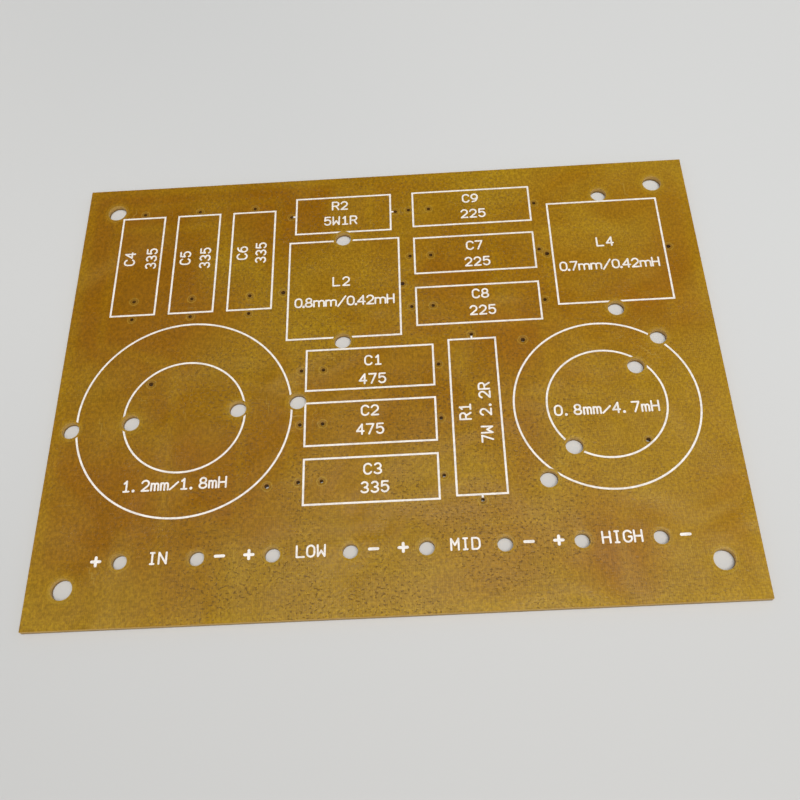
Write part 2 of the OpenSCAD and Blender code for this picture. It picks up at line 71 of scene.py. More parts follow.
# ---------------------------------------------------------------- node helpers
class Graph:
    """Short calls that add nodes to a node tree."""

    def __init__(self, tree):
        self.tree = tree
        self.links = tree.links

    def add(self, kind, **values):
        node = self.tree.nodes.new(kind)
        for key, value in values.items():
            setattr(node, key, value)
        return node

    def put(self, socket, value):
        if isinstance(value, bpy.types.NodeSocket):
            self.links.new(value, socket)
        else:
            socket.default_value = value

    def math(self, operation, a, b, clamp=False):
        node = self.add("ShaderNodeMath", operation=operation, use_clamp=clamp)
        self.put(node.inputs[0], a)
        self.put(node.inputs[1], b)
        return node.outputs[0]

    def vector_math(self, operation, a, b=None):
        node = self.add("ShaderNodeVectorMath", operation=operation)
        self.put(node.inputs[0], a)
        if b is not None:
            node.inputs[1].default_value = b
        return node.outputs["Value"]

    def parts(self, vector):
        node = self.add("ShaderNodeSeparateXYZ")
        self.put(node.inputs[0], vector)
        return node.outputs

    def span(self, value, a, b, low=0.0, high=1.0):
        node = self.add("ShaderNodeMapRange", interpolation_type="SMOOTHSTEP")
        for socket, v in zip(node.inputs[:5], (value, a, b, low, high)):
            self.put(socket, v)
        return node.outputs[0]

    def mix(self, factor, a, b, blend="MIX"):
        node = self.add("ShaderNodeMix", data_type="RGBA", blend_type=blend)
        self.put(node.inputs[0], factor)
        self.put(node.inputs[6], a if isinstance(a, bpy.types.NodeSocket) else (*a, 1))
        self.put(node.inputs[7], b if isinstance(b, bpy.types.NodeSocket) else (*b, 1))
        return node.outputs[2]

    def times(self, colour, value):
        """A colour made lighter or darker by a factor."""
        node = self.add("ShaderNodeCombineXYZ")
        for socket in node.inputs:
            self.put(socket, value)
        return self.mix(1.0, colour, node.outputs[0], "MULTIPLY")

    def seen(self):
        """1 where the camera looks straight at a surface or through a clear one."""
        path = self.add("ShaderNodeLightPath").outputs
        return self.math("ADD", path["Is Camera Ray"], path["Is Transmission Ray"])

    def choose(self, factor, a, b):
        node = self.add("ShaderNodeMixShader")
        for socket, value in zip(node.inputs, (factor, a, b)):
            self.put(socket, value)
        return node.outputs[0]


class Material(Graph):
    """A material with one Principled shader, and its textures in the object's own frame."""

    def __init__(self, name):
        self.material = bpy.data.materials.new(name)
        self.material.use_nodes = True
        super().__init__(self.material.node_tree)
        self.tree.nodes.clear()
        self.out = self.add("ShaderNodeOutputMaterial")
        self.shader = self.add("ShaderNodeBsdfPrincipled")
        self.links.new(self.shader.outputs[0], self.out.inputs[0])
        self.object = self.add("ShaderNodeTexCoord").outputs["Object"]

    def mapped(self, scale, rotation=(0, 0, 0)):
        node = self.add("ShaderNodeMapping")
        self.put(node.inputs["Vector"], self.object)
        node.inputs["Scale"].default_value = scale
        node.inputs["Rotation"].default_value = rotation
        return node.outputs[0]

    def noise(self, scale, detail=2.0, roughness=0.5, vector=None, distortion=0.0):
        node = self.add("ShaderNodeTexNoise")
        self.put(node.inputs["Vector"], vector or self.object)
        node.inputs["Scale"].default_value = scale
        node.inputs["Detail"].default_value = detail
        node.inputs["Roughness"].default_value = roughness
        node.inputs["Distortion"].default_value = distortion
        return node.outputs["Fac"]

    def wave(self, axis, pitch):
        node = self.add("ShaderNodeTexWave", bands_direction=axis)
        self.put(node.inputs["Vector"], self.object)
        node.inputs["Scale"].default_value = WAVE_UNIT / pitch
        node.inputs["Distortion"].default_value = CLOTH_WANDER
        node.inputs["Detail"].default_value = 1.0
        node.inputs["Detail Scale"].default_value = 0.35
        return node.outputs["Fac"]

    def bump(self, height, distance, strength, normal=None):
        node = self.add("ShaderNodeBump")
        self.put(node.inputs["Height"], height)
        node.inputs["Distance"].default_value = distance
        node.inputs["Strength"].default_value = strength
        if normal:
            self.links.new(normal, node.inputs["Normal"])
        return node.outputs[0]

    def finish(self, colour, roughness, normal, **constants):
        self.put(self.shader.inputs["Base Color"], colour)
        self.put(self.shader.inputs["Roughness"], roughness)
        self.links.new(normal, self.shader.inputs["Normal"])
        for key, value in constants.items():
            self.shader.inputs[key].default_value = value
        return self.material


def srgb(r, g, b):
    """A colour of 0 to 255 as a screen shows it, in linear light."""
    return tuple(c / 12.92 if c <= 0.04045 else ((c + 0.055) / 1.055) ** 2.4
                 for c in (r / 255, g / 255, b / 255))


# ---------------------------------------------------------------- materials
AMBER_DARK, AMBER_LIGHT = (0.296, 0.120, 0.0006), (0.358, 0.202, 0.0055)
# Where the resin is clearer or milkier: x, y, radius in board millimetres, and how much
RESIN_PATCHES = [
    (20, 82, 28, -0.9), (8, 112, 24, -0.6), (112, 66, 24, -0.6), (148, 79, 20, -0.5),
    (87, 48, 18, -0.45), (130, 11, 18, -0.65), (15, 25, 18, -0.35), (52, 110, 18, -0.4),
    (66, 6, 40, 0.6), (62, 84, 24, 0.5), (42, 56, 20, 0.45), (101, 29, 20, 0.4),
    (38, 95, 14, 0.5), (133, 40, 24, 0.3), (103, 115, 20, 0.55), (4, 58, 14, 0.4),
    (100, 60, 14, 0.4), (44, 24, 14, -0.35), (86, 52, 12, 0.3), (86, 30, 14, 0.35),
    (62, 72, 12, 0.4), (95, 85, 12, -0.5), (85, 106, 12, 0.35),
]
# Colours of the board's top in linear light, each mixed over the ones before
GLOW_COLOUR = (0.52, 0.33, 0.004)       # where no copper blocks the light from below
CLOTH_SHADE = (0.17, 0.07, 0.001)
MOTTLE_SHADE = (0.17, 0.075, 0.001)
FLECK_COLOUR = (0.1, 0.045, 0.002)
LIP_COLOUR = (0.50, 0.32, 0.05)
# painted shade round the narrow lead holes
PAINTED_LEAD_SHADE = (0.17, 0.075, 0.002)
CRAZE_COLOUR = (0.55, 0.38, 0.06)
WARP_PITCH, WEFT_PITCH = 0.44 * MM, 0.62 * MM
CLOTH_WANDER = 2.5
WAVE_UNIT = math.pi / 10                # Blender's wave of scale 1 repeats after this length
RESIN_IOR, GLASS_IOR = 1.42, 1.5


def amber_top():
    g = Material("amber_laminate")
    x_at, y_at, _ = g.parts(g.object)
    left, right = panel_low.x, panel_high.x
    # Milky and clear resin, and painted light: lighter towards the right end and along the front
    cloud = g.noise(40, 3, 0.5, distortion=0.8)
    milky_and_painted_light = g.math("ADD", g.span(x_at, left, right, 0.25, 0.6),
                   g.span(cloud, 0.3, 0.7, -0.25, 0.35))
    for x, y, radius, amount in RESIN_PATCHES:
        away = g.vector_math("DISTANCE", g.object, on_board(x, y, panel_high.z))
        milky_and_painted_light = g.math("ADD", milky_and_painted_light, g.span(away, radius * MM, 0.0, 0.0, amount))
    # Painted light: the front strip made lighter
    front = g.span(y_at, panel_low.y, panel_low.y + 30 * MM, 0.35, 0.0)
    milky_and_painted_light = g.math("ADD", milky_and_painted_light, front, True)
    colour = g.mix(milky_and_painted_light, AMBER_DARK, AMBER_LIGHT)
    # Painted light: brighter towards the right end
    colour = g.times(colour, g.span(x_at, left, right, 0.95, 1.12))
    glow = g.add("ShaderNodeAttribute", attribute_name="glow").outputs["Fac"]
    colour = g.mix(g.math("MULTIPLY", glow, 0.2), colour, GLOW_COLOUR)
    # Glass cloth under the resin: warp and weft at their own pitch, unevenly inked
    warp, weft = g.wave("X", WARP_PITCH), g.wave("Y", WEFT_PITCH)
    cloth = g.math("ADD", g.math("MULTIPLY", warp, 0.6), g.math("MULTIPLY", weft, 0.4))
    patchy = g.span(g.noise(160, 2), 0.35, 0.65, 0.08, 0.36)
    colour = g.mix(g.math("MULTIPLY", cloth, patchy), colour, CLOTH_SHADE)
    # Fine dark mottle, and a coarser grain that is weaker at the right end
    mottle = g.noise(1, 2, 0.6, g.mapped((1900, 1500, 1)))
    colour = g.mix(g.span(mottle, 0.36, 0.64, 0, 0.42), colour, MOTTLE_SHADE)
    coarse = g.noise(1, 2, 0.55, g.mapped((1250, 950, 1)))
    grain = g.span(x_at, 25 * MM, 70 * MM, 0.3, 0.18)
    swing = g.math("MULTIPLY", g.span(coarse, 0.3, 0.7, -0.5, 0.5), grain)
    colour = g.times(colour, g.math("ADD", swing, 1.0))
    # Short dark flecks and dents, most of them in the middle of the front
    fleck = g.noise(1, 1, 0.5, g.mapped((1450, 1900, 1), (0, 0, 0.35)))
    nearer = g.span(y_at, panel_low.y, panel_high.y, 1.0, 0.6)
    density = g.math("MULTIPLY", g.span(g.noise(60, 2), 0.34, 0.56), nearer)
    sides = g.math("MULTIPLY", g.span(x_at, -65 * MM, -35 * MM, 0.35, 1.0),
                   g.span(x_at, 30 * MM, 60 * MM, 1.0, 0.5))
    density = g.math("MULTIPLY", density, sides)
    flecks = g.math("MULTIPLY", g.span(fleck, 0.60, 0.66), density)
    colour = g.mix(g.math("MULTIPLY", flecks, 0.7), colour, FLECK_COLOUR)
    # Pale lip round each hole, and a faint ring where the drill has crazed the resin. The
    # attribute holds the way from the nearest hole's centre and its radius, in millimetres.
    hole = g.add("ShaderNodeAttribute", attribute_name="hole").outputs["Vector"]
    hole_x, hole_y, hole_r = g.parts(hole)
    flat = g.add("ShaderNodeCombineXYZ")
    g.put(flat.inputs[0], hole_x)
    g.put(flat.inputs[1], hole_y)
    rim = g.math("SUBTRACT", g.vector_math("LENGTH", flat.outputs[0]), hole_r)
    ragged = g.math("ADD", rim, g.span(g.noise(1400, 2), 0.3, 0.7, -0.1, 0.1))
    lip = g.span(ragged, 0.5, 0.05)
    ring = g.math("MULTIPLY", g.span(ragged, 0.42, 0.62), g.span(ragged, 0.85, 0.65))
    colour = g.mix(g.math("MULTIPLY", lip, 0.3), colour, LIP_COLOUR)
    # Painted shade: the top darkened round the narrow lead holes
    lead = g.span(hole_r, 0.9, 0.7)
    inside = g.math("MULTIPLY", g.span(ragged, 0.62, 0.3), lead)
    colour = g.mix(g.math("MULTIPLY", inside, 0.45), colour, PAINTED_LEAD_SHADE)
    strength = g.math("ADD", g.math("MULTIPLY", lead, 0.14), 0.14)
    colour = g.mix(g.math("MULTIPLY", ring, strength), colour, CRAZE_COLOUR)
    rough = g.math("ADD", g.span(cloud, 0.3, 0.7, 0.26, 0.34), g.math("MULTIPLY", flecks, 0.1))
    bumps = g.bump(g.noise(38, 2, 0.5, distortion=0.5), 2.6 * MM, 0.5)
    bumps = g.bump(cloth, 0.02 * MM, 0.6, bumps)
    bumps = g.bump(mottle, 0.03 * MM, 0.6, bumps)
    bumps = g.bump(g.math("MULTIPLY", flecks, -1.0), 0.06 * MM, 0.9, bumps)
    bumps = g.bump(g.math("MULTIPLY", lip, -1.0), 0.06 * MM, 0.6, bumps)
    return g.finish(colour, rough, bumps, IOR=RESIN_IOR)


def cut_edge(name, dark, light, thread, painted_foot_shadow):
    """Sawn or drilled laminate: plies of cloth on edge, and painted shadow: darker near the
    underside.
    """
    g = Material(name)
    plies = g.noise(1, 3, 0.6, g.mapped((220, 220, 5200)))
    colour = g.mix(g.span(plies, 0.35, 0.65), dark, light)
    # Painted shadow: darker towards the underside, where the edge meets the table
    height = g.parts(g.object)[2]
    low = g.span(height, panel_low.z + 0.9 * MM, panel_low.z + 0.3 * MM, 0, 0.85)
    colour = g.mix(low, colour, painted_foot_shadow)
    fibres = g.noise(1, 2, 0.6, g.mapped((2600, 2600, 900)))
    colour = g.mix(g.span(fibres, 0.55, 0.75, 0, 0.35), colour, thread)
    rough = g.span(plies, 0.3, 0.7, 0.5, 0.75)
    return g.finish(colour, rough, g.bump(fibres, 0.04 * MM, 0.6), IOR=GLASS_IOR)


def green_resist(name, low, high):
    g = Material(name)
    cloud = g.noise(60, 3, 0.5)
    colour = g.mix(g.span(cloud, 0.3, 0.7), low, high)
    rough = g.span(cloud, 0.3, 0.7, 0.22, 0.34)
    grain = g.noise(2600, 2, 0.5)
    return g.finish(colour, rough, g.bump(grain, 0.015 * MM, 0.3), IOR=GLASS_IOR)


def white_ink():
    g = Material("white_ink")
    wear = g.noise(900, 3, 0.6)
    colour = g.mix(g.span(wear, 0.35, 0.7), srgb(244, 238, 230), srgb(222, 214, 204))
    rough = g.span(wear, 0.3, 0.7, 0.42, 0.6)
    return g.finish(colour, rough, g.bump(wear, 0.01 * MM, 0.5), IOR=GLASS_IOR)


def tinned():
    g = Material("tinned_land")
    flow = g.noise(900, 3, 0.5)
    colour = g.mix(g.span(flow, 0.3, 0.7), (0.62, 0.62, 0.6), (0.5, 0.5, 0.49))
    rough = g.span(flow, 0.3, 0.7, 0.18, 0.34)
    return g.finish(colour, rough, g.bump(flow, 0.03 * MM, 0.5), Metallic=1.0)


TOP = amber_top()
# The last colour of each is a painted shadow at the foot of the cut
EDGE = cut_edge("laminate_cut_edge", srgb(184, 142, 58), srgb(208, 168, 82), srgb(226, 192, 118),
                srgb(112, 82, 34))
# Painted shade: the walls of the narrow holes coloured darker than the board's cut edge
PAINTED_SHADE_BORE = cut_edge("drilled_wall_painted_shade", srgb(104, 66, 18), srgb(130, 88, 30), srgb(160, 116, 52),
                srgb(70, 46, 14))
UNDER = green_resist("resist_on_laminate", srgb(38, 62, 18), srgb(46, 72, 22))
FOIL = green_resist("resist_on_copper", srgb(56, 112, 40), srgb(68, 126, 46))
INK, TIN = white_ink(), tinned()


# ---------------------------------------------------------------- meshes
FOIL_MARGIN = 10.0          # millimetres of the foil's map past the board's edges
PANEL_MARGIN = 1.0          # millimetres that the uncut panel stands past the board's edges
PANEL_CELL = 0.62           # millimetres; fine enough for the light between the copper areas
OVERSHOOT = 1 * MM          # what a cut passes beyond a face
FINE_BORE = 0.6             # millimetres; only the walls of narrower holes get the dark wall colour, which is painted shade
WALL_REACH = 0.1            # millimetres past a hole's radius in which its wall faces lie
TOP_SLOT, EDGE_SLOT, UNDER_SLOT, BORE_SLOT = range(4)
SOLDER_T = 0.03 * MM
LEAD_LAND, TERMINAL_LAND = 0.9, 1.5     # millimetres of bare ring round a hole
LAND_LEAST, LAND_STEP, LAND_CLEAR = 0.3, 0.05, 0.1
LEAD_R, TERMINAL_R = 1.0, 1.9           # the largest radii of lead and terminal holes


def placed(name, data):
    piece = bpy.data.objects.new(name, data)
    scene.collection.objects.link(piece)
    return piece


def make(name, vertices, faces, materials):
    mesh = bpy.data.meshes.new(name)
    mesh.from_pydata([tuple(v) for v in vertices], [], faces)
    mesh.update()
    for m in materials:
        mesh.materials.append(m)
    return placed(name, mesh)


def painted(mesh, material):
    mesh.materials.clear()
    mesh.materials.append(material)


def welded(mesh):
    """The mesh opened for edits, its doubled points made one."""
    bm = bmesh.new()
    bm.from_mesh(mesh)
    bmesh.ops.remove_doubles(bm, verts=bm.verts, dist=WELD)
    return bm


def groups(left, neighbours):
    """The connected sets within a set."""
    while left:
        group, todo = [], [left.pop()]
        while todo:
            item = todo.pop()
            group.append(item)
            for other in neighbours(item):
                if other in left:
                    left.discard(other)
                    todo.append(other)
        yield group


def combined(base, tool, operation):
    """The mesh of one object cut by or joined with another, which goes."""
    step = base.modifiers.new("step", "BOOLEAN")
    step.operation, step.solver, step.object = operation, "MANIFOLD", tool
    mesh = bpy.data.meshes.new_from_object(
        base.evaluated_get(bpy.context.evaluated_depsgraph_get()))
    base.modifiers.clear()
    base.data = mesh
    bpy.data.objects.remove(tool)
    return mesh


def coverage(step, sigma):
    """Foil seen from above, as a blurred map: 1 over copper, 0 over gaps, holes and outside.

    The cells are step wide and the blur is sigma, both in millimetres.
    """
    wide, deep = (int((size + 2 * FOIL_MARGIN) / step) for size in (board_w, board_d))
    grid = np.zeros((deep, wide))
    xs = (np.arange(wide) + 0.5) * step - FOIL_MARGIN
    ys = (np.arange(deep) + 0.5) * step - FOIL_MARGIN
    for name in COPPER:
        mesh = nodes[name].data
        mesh.calc_loop_triangles()
        points = np.array([v.co for v in mesh.vertices])
        for t in mesh.loop_triangles:
            corners = points[list(t.vertices)]
            if corners[:, 2].max() > TOUCH:
                continue
            q = board_mm(corners)
            x0, x1 = np.searchsorted(xs, [q[:, 0].min(), q[:, 0].max()])
            y0, y1 = np.searchsorted(ys, [q[:, 1].min(), q[:, 1].max()])
            gx, gy = np.meshgrid(xs[x0:x1], ys[y0:y1])
            inside = np.ones(gx.shape, bool)
            area = np.cross(q[1] - q[0], q[2] - q[0])
            for i in range(3):
                a, b = q[i], q[(i + 1) % 3]
                side = (b[0] - a[0]) * (gy - a[1]) - (b[1] - a[1]) * (gx - a[0])
                inside &= side * area >= 0
            grid[y0:y1, x0:x1][inside] = 1
    k = np.arange(-int(3 * sigma / step), int(3 * sigma / step) + 1) * step
    kernel = np.exp(-k * k / (2 * sigma * sigma))
    kernel /= kernel.sum()
    for axis in (0, 1):
        grid = np.apply_along_axis(lambda row: np.convolve(row, kernel, "same"), axis, grid)
    return xs, ys, grid


def sample(xs, ys, grid, x, y):
    """The map's value between its cells' centres."""
    u = np.clip((x - xs[0]) / (xs[1] - xs[0]), 0, len(xs) - 1.001)
    v = np.clip((y - ys[0]) / (ys[1] - ys[0]), 0, len(ys) - 1.001)
    i, j = u.astype(int), v.astype(int)
    fu, fv = u - i, v - j
    return ((grid[j, i] * (1 - fu) + grid[j, i + 1] * fu) * (1 - fv)
            + (grid[j + 1, i] * (1 - fu) + grid[j + 1, i + 1] * fu) * fv)


def drilled_holes():
    """Centre and radius of every hole in the CAD laminate, in board millimetres."""
    bm = welded(nodes["laminate"].data)
    edge = 10 * TOUCH
    walls = {f for f in bm.faces if abs(f.normal.z) < 0.5
             and abs(f.calc_center_median().x) < panel_high.x - edge
             and abs(f.calc_center_median().y) < panel_high.y - edge}
    found = []
    for group in groups(walls, lambda f: (other for e in f.edges for other in e.link_faces)):
        points = board_mm([v.co for f in group for v in f.verts])
        low, high = points.min(0), points.max(0)
        found.append((*(low + high) / 2, (high - low).max() / 2))
    bm.free()
    return sorted(found)


def panel_blank():
    """A block with a fine grid of faces on top, a little larger than the board."""
    nx, ny = (round((size + 2 * PANEL_MARGIN) / PANEL_CELL) for size in (board_w, board_d))
    gx = np.linspace(-PANEL_MARGIN, board_w + PANEL_MARGIN, nx + 1)
    gy = np.linspace(-PANEL_MARGIN, board_d + PANEL_MARGIN, ny + 1)
    points = [on_board(x, y, panel_high.z) for y in gy for x in gx]
    at = lambda i, j: j * (nx + 1) + i
    faces = [(at(i, j), at(i + 1, j), at(i + 1, j + 1), at(i, j + 1))
             for j in range(ny) for i in range(nx)]
    ring = ([at(i, 0) for i in range(nx)] + [at(nx, j) for j in range(ny)]
            + [at(i, ny) for i in range(nx, 0, -1)] + [at(0, j) for j in range(ny, 0, -1)])
    low = len(points)
    points += [Vector((points[k].x, points[k].y, -OVERSHOOT)) for k in ring]
    n = len(ring)
    faces += [(ring[(k + 1) % n], ring[k], low + k, low + (k + 1) % n) for k in range(n)]
    faces.append(tuple(low + k for k in range(n - 1, -1, -1)))
    return make("laminate_panel", points, faces, [])


def laminate_panel():
    """The laminate again, with a top face fine enough to carry the light from below."""
    slab = panel_blank()
    cutter = nodes["laminate"].data.copy()
    for v in cutter.vertices:
        if v.co.z > panel_high.z - TOUCH:
            v.co.z += OVERSHOOT
    bm = welded(cutter)
    bm.to_mesh(cutter)
    bm.free()
    mesh = combined(slab, placed("cutter", cutter), "INTERSECT")
    mesh.materials.clear()
    for m in (TOP, EDGE, UNDER, PAINTED_SHADE_BORE):
        mesh.materials.append(m)
    rims = np.array(drilled_holes())
    wall_reach = np.minimum(rims[:, 2], FINE_BORE) + WALL_REACH
    for f in mesh.polygons:
        if abs(f.normal.z) > 0.5:
            f.material_index = TOP_SLOT if f.normal.z > 0 else UNDER_SLOT
        else:
            away = np.hypot(*(rims[:, :2] - board_mm(f.center)).T)
            f.material_index = BORE_SLOT if np.any(away < wall_reach) else EDGE_SLOT
    x, y = board_mm([v.co for v in mesh.vertices]).T
    glow = 1 - sample(*coverage(step=0.25, sigma=0.8), x, y)
    mesh.attributes.new("glow", "FLOAT", "POINT").data.foreach_set(
        "value", glow.astype(np.float32))
    nearest = rims[np.argmin(np.hypot(x[:, None] - rims[:, 0], y[:, None] - rims[:, 1])
                             - rims[:, 2], axis=1)]
    hole = np.column_stack([x - nearest[:, 0], y - nearest[:, 1], nearest[:, 2]])
    mesh.attributes.new("hole", "FLOAT_VECTOR", "POINT").data.foreach_set(
        "vector", hole.astype(np.float32).ravel())
    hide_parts("laminate")
    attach(slab, "root")


def resist_coated(name):
    """The foil again, its lower face set back to leave room for the solder on its lands."""
    mesh = nodes[name].data.copy()
    painted(mesh, FOIL)
    for v in mesh.vertices:
        if v.co.z < TOUCH:
            v.co.z = SOLDER_T
    piece = placed(name + "_coated", mesh)
    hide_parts(name)
    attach(piece, "root")


def solder_lands():
    """Tinned rings left bare of resist round each lead and terminal hole, inside their own foil."""
    foil = coverage(step=0.1, sigma=0.06)
    turns = np.linspace(0, 2 * math.pi, 24, endpoint=False)
    vertices, faces = [], []
    for cx, cy, r in drilled_holes():
        if r > TERMINAL_R:
            continue
        # Narrower where the foil's own border comes close
        width = LEAD_LAND if r < LEAD_R else TERMINAL_LAND
        while width > LAND_LEAST:
            edge = r + width + LAND_CLEAR
            if sample(*foil, cx + edge * np.cos(turns), cy + edge * np.sin(turns)).min() > 0.5:
                break
            width -= LAND_STEP
        sides = 28 if r < LEAD_R else 48
        rows = [(r + 0.02, SOLDER_T), (r + 0.05, 0.4 * SOLDER_T), (r + 0.3 * width, 0),
                (r + 0.65 * width, 0.1 * SOLDER_T), (r + 0.92 * width, 0.5 * SOLDER_T),
                (r + width, SOLDER_T)]
        k = len(vertices)
        for radius, z in rows:
            vertices += [on_board(cx + radius * math.cos(2 * math.pi * i / sides),
                                  cy + radius * math.sin(2 * math.pi * i / sides), z)
                         for i in range(sides)]
        for row in range(len(rows)):
            a, b = k + row * sides, k + (row + 1) % len(rows) * sides
            faces += [(a + i, b + i, b + (i + 1) % sides, a + (i + 1) % sides)
                      for i in range(sides)]
    piece = make("solder_lands", vertices, faces, [TIN])
    bm = bmesh.new()
    bm.from_mesh(piece.data)
    bmesh.ops.recalc_face_normals(bm, faces=bm.faces)
    bm.to_mesh(piece.data)
    bm.free()
    for f in piece.data.polygons:
        f.use_smooth = True
    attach(piece, "root")


laminate_panel()
for name in COPPER:
    resist_coated(name)
solder_lands()
for name in OUTLINES:
    painted(nodes[name].data, INK)


# ---------------------------------------------------------------- lettering
# Signs are drawn by a round pen on a grid 4 wide and 6 high; lengths are in millimetres
GRID_W, GRID_H = 4, 6
PEN, MARK_PEN = 0.42, 0.66
DOT_R = 0.8 * PEN
SIGN_W, SIGN_H = 1.62, 2.52
SIGN_PITCH = 2.3
DOT_SHIFT = 0.3                     # of a dot in evenly spaced text
WIDTHS = {".": 0.0, "m": 2.55, "/": 1.9, "4": 1.8}
CORNER = math.cos(math.radians(50))
CAP_STEPS = 6
INK_SPAN = ink_low.z / MM, ink_high.z / MM


def arc(cx, cy, rx, ry, a, b, n=8):
    return [(cx + rx * math.cos(math.radians(a + (b - a) * i / n)),
             cy + ry * math.sin(math.radians(a + (b - a) * i / n))) for i in range(n + 1)]


OVAL = [arc(2, 4, 2, 2, 0, 180) + arc(2, 2, 2, 2, 180, 360) + [(4, 4)]]
SIGNS = {
    "0": OVAL,
    "1": [[(0.9, 4.7), (2.2, 6), (2.2, 0)], [(0.7, 0), (3.7, 0)]],
    "2": [arc(2, 4.15, 1.95, 1.85, 165, -38) + [(0.1, 0), (4, 0)]],
    "3": [arc(2, 4.45, 1.75, 1.55, 150, -90, 9), arc(2, 1.45, 1.95, 1.45, 90, -155, 10)],
    "4": [[(3, 0), (3, 6), (0, 1.8), (4, 1.8)]],
    "5": [[(3.7, 6), (0.5, 6), (0.3, 3.3)] + arc(2, 2, 2, 2, 125, -150, 10)],
    "6": [[(3.4, 5.9)] + arc(3, 2.2, 2.9, 3.6, 105, 178, 6),
          arc(2.05, 1.95, 1.95, 1.95, 0, 360, 14)],
    "7": [[(0, 6), (4, 6), (1.4, 0)]],
    "8": [arc(2, 4.5, 1.65, 1.5, -90, 270, 14), arc(2, 1.5, 2, 1.5, 90, -270, 14)],
    "9": [arc(1.95, 4.05, 1.95, 1.95, 0, 360, 14),
          arc(1, 3.8, 2.9, 3.6, 2, -75, 6) + [(0.6, 0.1)]],
    "C": [arc(2.1, 4, 2.1, 2, 25, 180) + arc(2.1, 2, 2.1, 2, 180, 335)],
    "D": [[(0, 0), (0, 6), (2, 6)] + arc(2, 4, 2, 2, 90, 0) + arc(2, 2, 2, 2, 0, -90) + [(0, 0)]],
    "G": [arc(2.1, 4, 2.1, 2, 25, 180) + arc(2.1, 2, 2.1, 2, 180, 350) + [(4.1, 2.8), (2.6, 2.8)]],
    "H": [[(0, 0), (0, 6)], [(4, 0), (4, 6)], [(0, 3), (4, 3)]],
    "I": [[(2, 0), (2, 6)], [(1, 6), (3, 6)], [(1, 0), (3, 0)]],
    "L": [[(0, 6), (0, 0), (4, 0)]],
    "M": [[(0, 0), (0, 6), (2, 2.6), (4, 6), (4, 0)]],
    "N": [[(0, 0), (0, 6), (4, 0), (4, 6)]],
    "O": OVAL,
    "R": [[(0, 0), (0, 6), (2.4, 6)] + arc(2.4, 4.4, 1.6, 1.6, 90, -90) + [(0, 2.8)],
          [(2.2, 2.8), (4, 0)]],
    "W": [[(0, 6), (0.15, 0), (2, 3), (3.85, 0), (4, 6)]],
    "m": [[(0, 0), (0, 4)], [(0, 2.9)] + arc(1, 2.9, 1, 1.1, 180, 0) + [(2, 0)],
          [(2, 2.9)] + arc(3, 2.9, 1, 1.1, 180, 0) + [(4, 0)]],
    "/": [[(0, -0.6), (4, 6.4)]],
    "|": [[(-0.3, 0.1), (4.1, 4.2)]],       # the ring coils' low slash
    ".": [[(0, 0.2), (0.02, 0.3)]],
    " ": [],
}


def split(path):
    """A stroke cut at its sharp corners, where the pen leaves a round end."""
    path = [p for i, p in enumerate(path) if not i or math.dist(p, path[i - 1]) > 1e-4]
    runs, start = [], 0
    for i in range(1, len(path) - 1):
        a = np.subtract(path[i], path[i - 1])
        b = np.subtract(path[i + 1], path[i])
        if a @ b < CORNER * np.linalg.norm(a) * np.linalg.norm(b):
            runs.append(path[start:i + 1])
            start = i
    return runs + [path[start:]]


def ribbon(path, r):
    """A closed flat solid of ink along a path, with round ends: (vertices, faces)."""
    p = np.array(path, float)
    closed = len(p) > 3 and np.allclose(p[0], p[-1], atol=1e-6)
    d = np.diff(p, axis=0)
    n = np.column_stack([-d[:, 1], d[:, 0]]) / np.linalg.norm(d, axis=1)[:, None]
    if closed:
        before, after = np.roll(n, 1, 0), n
        p = p[:-1]
    else:
        before, after = np.vstack([n[:1], n]), np.vstack([n, n[-1:]])
    out = (before + after) / (1 + (before * after).sum(1))[:, None] * r
    count = len(p)
    spans = range(count if closed else count - 1)
    rows = [*(p + out), *(p - out)]
    top = [(i, count + i, count + (i + 1) % count, (i + 1) % count) for i in spans]
    rim = [(i, (i + 1) % count) for i in spans]
    sides = rim + [(count + b, count + a) for a, b in rim]
    if not closed:
        ends = ((p[0], n[0], 0, count), (p[-1], -n[-1], 2 * count - 1, count - 1))
        for centre, normal, a, b in ends:
            angle = math.atan2(normal[1], normal[0])
            first = len(rows)
            for i in range(1, CAP_STEPS):
                t = angle + math.pi * i / CAP_STEPS
                rows.append(centre + r * np.array([math.cos(t), math.sin(t)]))
            loop = [a, *range(first, len(rows)), b]
            top.append(tuple(loop))
            sides += [(y, x) for x, y in zip(loop, loop[1:])]
    k = len(rows)
    vertices = [(x, y, z) for z in INK_SPAN for x, y in rows]
    faces = [tuple(k + i for i in f) for f in top] + [tuple(reversed(f)) for f in top]
    faces += [(b, a, k + a, k + b) for a, b in sides]
    return vertices, faces


def joined(solids):
    """One mesh of several overlapping solids, in millimetres: (vertices, faces)."""
    base = make("joined", *solids[0], [])
    for solid in solids[1:]:
        combined(base, make("other", *solid, []), "UNION")
    mesh = base.data
    result = [tuple(v.co) for v in mesh.vertices], [tuple(f.vertices) for f in mesh.polygons]
    bpy.data.objects.remove(base)
    return result


SOLIDS = {}


def sign_solid(sign, width):
    key = (sign, round(width, 3))
    if key not in SOLIDS:
        runs = [run for stroke in SIGNS[sign] for run in split(stroke)]
        r = DOT_R if sign == "." else PEN / 2
        SOLIDS[key] = joined([
            ribbon([(x * width / GRID_W, (y / GRID_H - 0.5) * SIGN_H) for x, y in run], r)
            for run in runs])
    return SOLIDS[key]


